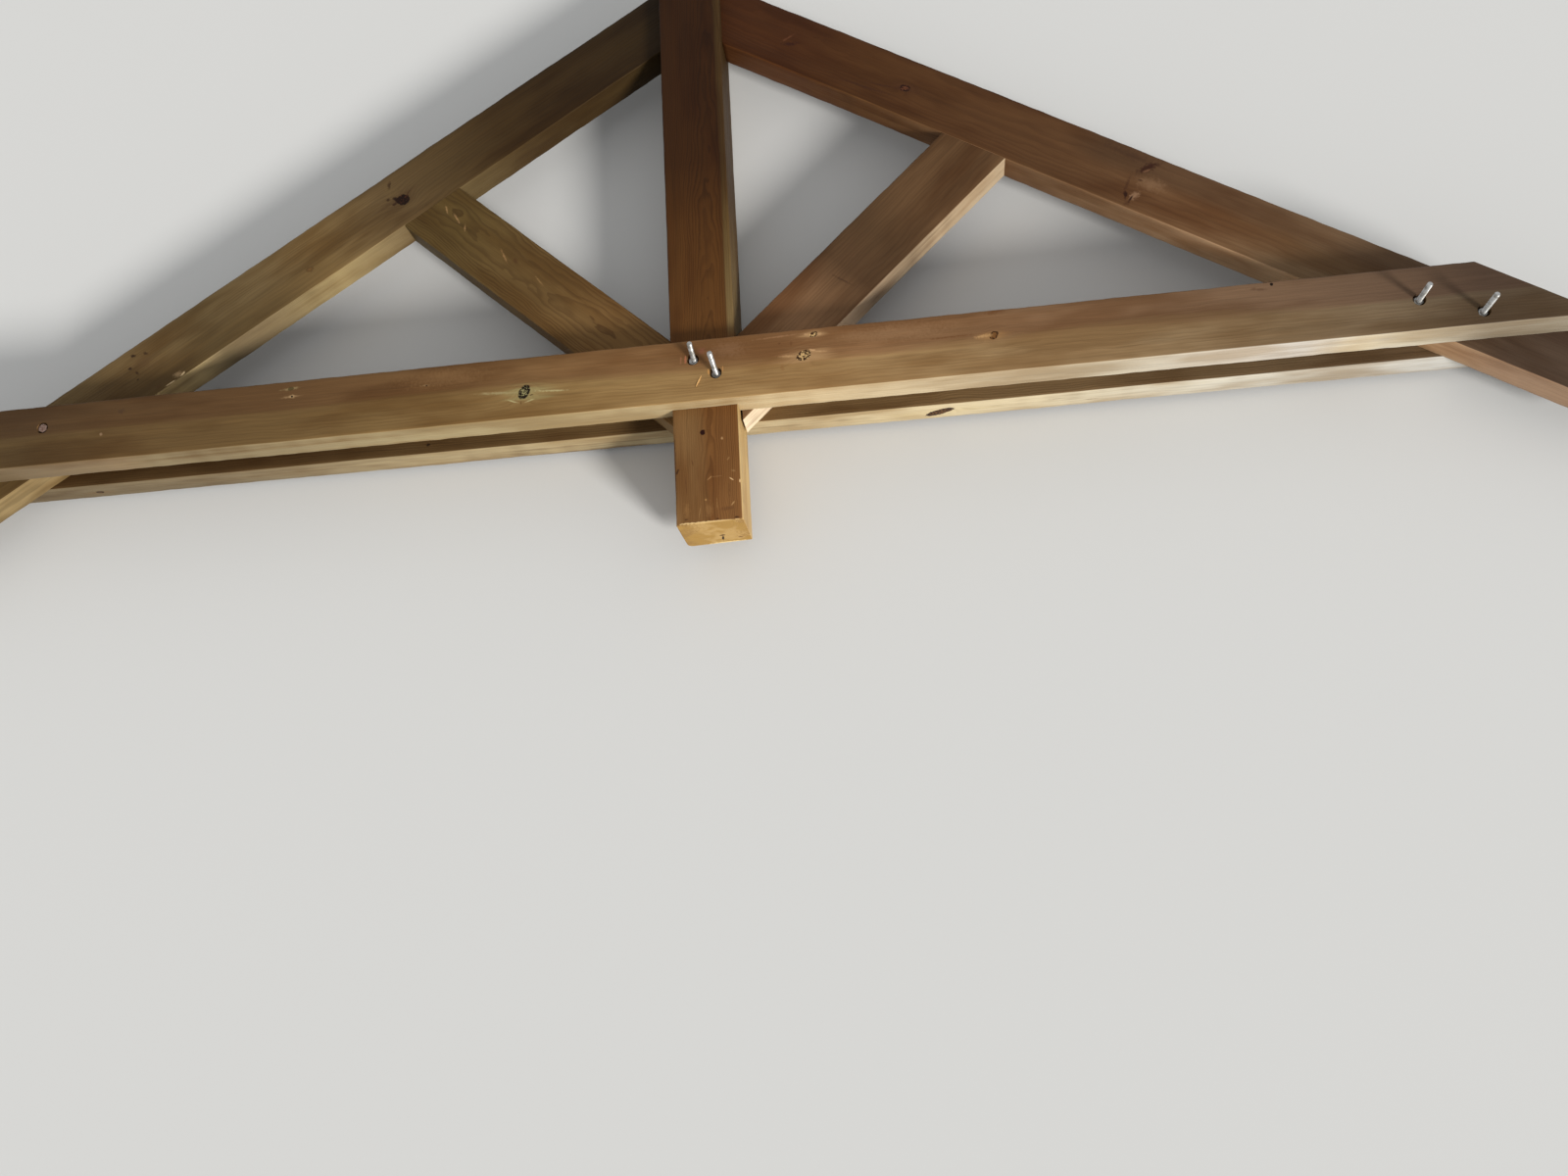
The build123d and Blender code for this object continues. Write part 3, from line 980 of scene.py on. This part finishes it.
WOODS["king_post"] = Wood(
    seed=7, pith_v=(0.012, 0.03), pith_w=(0.045, -0.03), ring=0.0036,
    early=(120, 80, 42), late=(84, 52, 24), contrast=0.6, stain=(214, 198, 180), waves=3.2,
    zones=(
        # Painted light: the lower part of the right side is pale, as the light falls on it from the
        # right.
        Zone("v", 0.0728, 0.0752, 0.002, (211, 182, 127), 0.95, (-0.02, -0.09)),
        Zone("u", -0.15, -0.335, 0.02, (140, 98, 58), 0.25),
        Zone("v", 0.01, -0.03, 0.015, (134, 102, 64), 0.75, (-0.02, -0.1)),
        # Painted light: a pale strip along the front's right edge above the tie, lit as a bevel would be.
        Zone("v", 0.056, 0.064, 0.003, (152, 132, 96), 0.85, (0.08, 0.14)),
    ),
    # Painted light and shade along the post: much darker towards the top.
    painted_light=(
        (-0.35, (0.98, 0.98, 0.98)), (0.0, (0.78, 0.75, 0.7)), (0.14, (0.54, 0.5, 0.4)),
        (0.4, (0.37, 0.32, 0.22)), (0.56, (0.2, 0.155, 0.1)), (1.1, (0.14, 0.1, 0.05)),
    ),
    end=(167, 130, 66), along=ACROSS,
    marks=(
        Mark(-0.136, -0.008, 0.0068, 0.006, 0, (34, 8, 6), 1.0, 0.3),
        Mark(-0.154, 0.036, 0.004, 0.003, 0, (170, 132, 88), 0.8, 0.6),
        Mark(-0.2465, 0.004, 0.008, 0.002, 52, (160, 120, 76), 0.8, 0.7),
        Mark(-0.244, 0.021, 0.014, 0.0016, 88, (142, 104, 66)),
        Mark(-0.204, 0.048, 0.005, 0.003, 30, (156, 118, 74), 0.7),
        Mark(-0.234, 0.058, 0.007, 0.004, 95, (148, 112, 70)),
        Mark(-0.253, 0.053, 0.007, 0.0018, 130, (212, 174, 124), 0.95, 0.6),
        Mark(-0.26, 0.0715, 0.005, 0.0022, 0, (220, 184, 134), 0.9, 0.6),
        Mark(-0.3105, 0.0545, 0.008, 0.002, 41, (172, 132, 84), 0.8, 0.7),
        Mark(-0.297, -0.007, 0.0028, 0.0028, 0, (180, 136, 80), 0.7, 0.8),
        Mark(-0.329, -0.0217, 0.02, 0.0016, 10, (160, 122, 76)),
        Mark(-0.309, 0.0185, 0.02, 0.0014, 0, (152, 114, 70)),
        Mark(-0.322, 0.041, 0.024, 0.007, 88, (94, 60, 34)),
        Mark(-0.275, 0.0475, 0.028, 0.0014, 0, (88, 56, 30)),
        Mark(-0.26, -0.05, 0.032, 0.0017, -3, (86, 54, 30)),
        Mark(-0.2065, -0.0333, 0.012, 0.0022, -12, (80, 48, 24)),
        Mark(-0.255, -0.021, 0.07, 0.0013, -2, (92, 60, 34), 0.5),
        Mark(-0.322, 0.0, 0.03, 0.012, 0, (150, 110, 66), 0.35, 0.95),
        Mark(-0.318, -0.05, 0.024, 0.01, 0, (146, 106, 62), 0.35, 0.95),
        Mark(-0.2, -0.072, 0.12, 0.002, 0, (60, 34, 18), 0.7, 0.8),
        Mark(-0.35, 0.0, 0.0036, 0.09, 0, (222, 188, 130), 0.9, 0.5),
        Mark(-0.344, 0.062, 0.003, 0.01, 0, (52, 28, 14), 0.8, 0.8),
        Mark(-0.344, 0.018, 0.0024, 0.006, 0, (64, 36, 18), 0.7, 0.8),
        Mark(-0.34, -0.052, 0.003, 0.006, 0, (60, 34, 18), 0.7, 0.8),
        Mark(-0.226, -0.069, 0.01, 0.004, 30, (46, 24, 12), 0.8, 0.8),
        Mark(-0.038, 0.0125, 0.023, 0.0026, 8, (36, 18, 8), 1.0, 0.5, "end"),
        Mark(-0.021, 0.014, 0.0045, 0.008, 0, (54, 28, 12), 0.95, 0.6, "end"),
        Mark(-0.046, 0.052, 0.003, 0.008, 0, (92, 60, 28), 0.7, 0.7, "end"),
        Mark(-0.074, 0.018, 0.007, 0.056, 0, (222, 194, 136), 0.7, 0.9, "end"),
    ),
)


def materials():
    return {name: Pine("pine_" + name, wood).finished() for name, wood in WOODS.items()}


# Fasteners

def zinc(name, bright, dull_tone):
    """Plated steel with dull patches and pale brown specks."""
    material, g = new_material(name)
    specks = g.noise(g.object_place(), 260.0, 3.0)[0]
    dull = g.noise(g.object_place(), 45.0, 2.0)[0]
    colour = g.mix(g.step(dull, 0.40, 0.65), bright, dull_tone)
    colour = g.mix(g.step(specks, 0.62, 0.72), colour, rgb(150, 136, 112))
    g.surface({"Base Color": colour, "Roughness": g.span(dull, 0.34, 0.58), "Metallic": 1.0})
    return material


def tarnished():
    material, g = new_material("tarnished_head")
    spots = g.noise(g.object_place(), 300.0, 3.0)[0]
    colour = g.mix(g.step(spots, 0.35, 0.65), rgb(150, 128, 116), rgb(112, 84, 70))
    bump = g.node("ShaderNodeBump", {"Strength": 0.3, "Distance": 0.0004, "Height": spots}).outputs[0]
    rough = g.span(spots, 0.4, 0.7)
    g.surface({"Base Color": colour, "Roughness": rough, "Normal": bump, "Metallic": 0.7})
    return material


def skinned(mesh, loops):
    """Joins closed loops of vertices one after another and caps both ends."""
    for near, far in zip(loops, loops[1:]):
        for k, vertex in enumerate(near):
            after = (k + 1) % len(near)
            mesh.faces.new((vertex, near[after], far[after], far[k]))
    mesh.faces.new(loops[0])
    mesh.faces.new(loops[-1])


def lathe(mesh, rings, segments):
    """A closed body through rings of points, each a function of the angle."""
    turns = [2 * math.pi * k / segments for k in range(segments)]
    skinned(mesh, [[mesh.verts.new(ring(turn)) for turn in turns] for ring in rings])
    bmesh.ops.recalc_face_normals(mesh, faces=mesh.faces)


def polar(radius, turn, level):
    return (radius * math.cos(turn), radius * math.sin(turn), level)


def circle(radius, level):
    return lambda turn: polar(radius, turn, level)


def hexagon(mesh, low, high, inner):
    """A hexagon with its corners turned off, from one height to another, its flats from inner out."""
    chamfer = math.tan(math.radians(28))

    def rim(level, drop):
        def point(turn):
            off_middle = (turn + math.pi / 6) % (math.pi / 3) - math.pi / 6
            far = HEX_FLATS / 2 / math.cos(off_middle)
            return polar(far, turn, level - drop * (far - CROWN) * chamfer)
        return point

    rings = [circle(inner, low), circle(CROWN, low), rim(low, -1)]
    rings += [rim(high, 1), circle(CROWN, high), circle(inner, high)]
    lathe(mesh, rings, 72)


def thread(mesh, low, high):
    """A rod with a helical thread from one height to another, its point turned to a bevel."""
    count = round((high - low) / THREAD_PITCH * THREAD_STEPS)
    core = BOLT_RADIUS - THREAD_DEPTH

    def ring(level):
        def point(turn):
            phase = (level / THREAD_PITCH - turn / (2 * math.pi)) % 1.0
            crest = min(1.0, max(0.0, 1.35 - 2.7 * abs(phase - 0.5)))
            radius = min(core + THREAD_DEPTH * crest, BOLT_RADIUS - POINT_BEVEL + (high - level))
            return polar(radius, turn, level)
        return point

    lathe(mesh, [ring(low + (high - low) * k / count) for k in range(count + 1)], 24)


def fastener(node, mesh, place, upward, material):
    """Turns a mesh that points up from zero into the piece that stands for a bolt or nut."""
    turned = Matrix.Identity(4) if upward else Matrix.Rotation(math.pi, 4, "X")
    mesh.transform(Matrix.Translation(place) @ turned)
    dressed(linked(node + "_zinc", mesh), material, node, FITTING_ANGLE)


def leaned(mesh, start, lean):
    """Bends the free end of a bolt sideways from a given height on."""
    for vertex in mesh.verts:
        beyond = max(0.0, vertex.co.z - start)
        vertex.co.x += lean[0] * beyond
        vertex.co.y += lean[1] * beyond


def bolt(node, upward, material):
    """A hexagon bolt: head, plain shank and threaded end."""
    low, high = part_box(node)
    centre = (low + high) / 2
    seat = low.z + HEAD_HEIGHT if upward else high.z - HEAD_HEIGHT
    length = high.z - low.z - HEAD_HEIGHT
    smooth = length - THREAD_LENGTH
    mesh = bmesh.new()
    hexagon(mesh, -HEAD_HEIGHT, 0.0, CROWN / 2)
    lathe(mesh, [circle(BOLT_RADIUS, level) for level in (0.0, smooth)], 24)
    thread(mesh, smooth, length)
    leaned(mesh, TIE_HIGH.z - seat - LEAN_DEPTH, LEANS.get(node, (0, 0)))
    fastener(node, mesh, (centre.x, centre.y, seat), upward, material)


def nut(node, upward, material):
    """A nut whose flats start just inside its bolt's thread."""
    low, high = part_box(node)
    centre = (low + high) / 2
    base = low.z if upward else high.z
    mesh = bmesh.new()
    hexagon(mesh, 0.0, high.z - low.z, 0.98 * BOLT_RADIUS)
    fastener(node, mesh, (centre.x, centre.y, base), upward, material)


# Surroundings

def floor():
    mesh = bmesh.new()
    bmesh.ops.create_grid(mesh, x_segments=4, y_segments=4, size=FLOOR_REACH)
    piece = linked("floor", mesh)
    material, g = new_material("pale_floor")
    g.surface({"Base Color": rgb(206, 206, 204), "Roughness": 0.9})
    piece.data.materials.append(material)


def splinter(material):
    """A pale sliver that hangs from the front tie beside the post's bolts."""
    mesh = bmesh.new()
    top = Vector((-0.001, TIE_Y - 0.0165, TIE_HIGH.z))
    foot = Vector((-0.013, TIE_Y - 0.041, TIE_HIGH.z + 0.0012))
    wide = Vector((0.0013, -0.0006, 0))
    deep = Vector((0, 0, 0.0009))
    rings = []
    corners = ((-1, -1), (1, -1), (1, 1), (-1, 1))
    for share, size in ((-0.1, 0.5), (0.3, 1.0), (0.7, 0.8), (1.0, 0.25)):
        middle = top + (foot - top) * share
        rings.append([mesh.verts.new(middle + size * (wide * a + deep * b)) for a, b in corners])
    skinned(mesh, rings)
    bmesh.ops.recalc_face_normals(mesh, faces=mesh.faces)
    dressed(linked("splinter", mesh), material, None, FITTING_ANGLE)


def torn_wood():
    material, g = new_material("torn_wood")
    grain = g.noise(g.vector("MULTIPLY", g.object_place(), (300.0, 60.0, 60.0)))[0]
    colour = g.mix(grain, rgb(226, 178, 112), rgb(196, 146, 84))
    g.surface({"Base Color": colour, "Roughness": g.span(grain, 0.6, 0.8)})
    return material


def sun():
    data = bpy.data.lights.new("key", "SUN")
    data.angle = SUN_WIDTH
    data.energy = SUN_STRENGTH
    data.color = SUN_COLOUR
    added("key", data).rotation_euler = Vector(SUN_WAY).to_track_quat("-Z", "Y").to_euler()


def sky():
    world = bpy.data.worlds.new("studio")
    bpy.context.scene.world = world
    world.use_nodes = True
    shade = world.node_tree.nodes["Background"]
    shade.inputs["Color"].default_value = SKY_COLOUR
    shade.inputs["Strength"].default_value = SKY_STRENGTH


def camera():
    data = bpy.data.cameras.new("camera")
    data.sensor_width = SENSOR_WIDTH
    data.lens = CAMERA_LENS
    turned = (Matrix.Rotation(CAMERA_YAW, 4, "Y") @ Matrix.Rotation(CAMERA_PITCH, 4, "X")
              @ Matrix.Rotation(-CAMERA_ROLL, 4, "Z"))
    piece = added("camera", data)
    piece.matrix_world = Matrix.Translation(CAMERA_PLACE) @ turned
    bpy.context.scene.camera = piece


# The whole scene

def build():
    woods = materials()
    for side, name in ((-1, "left"), (1, "right")):
        rafter(side, woods["rafter_" + name])
        strut(side, woods["strut_" + name], STRUT_GAPS[name])
    king_post(woods["king_post"])
    tie("tie_front", woods["tie_front"], tie_recesses())
    tie("tie_back", woods["tie_back"])
    splinter(torn_wood())
    plate = zinc("zinc_plate", rgb(198, 198, 196), rgb(152, 150, 144))
    dull = zinc("dull_zinc", rgb(172, 172, 170), rgb(128, 124, 118))
    tarnish = tarnished()
    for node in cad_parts:
        forward = "left" not in node
        if node.startswith("bolt_"):
            bolt(node, forward, plate if forward else tarnish)
        if node.startswith("nut_"):
            nut(node, forward, dull)
    floor()
    sun()
    sky()
    camera()


bpy.context.scene.view_settings.view_transform = "Standard"
build()
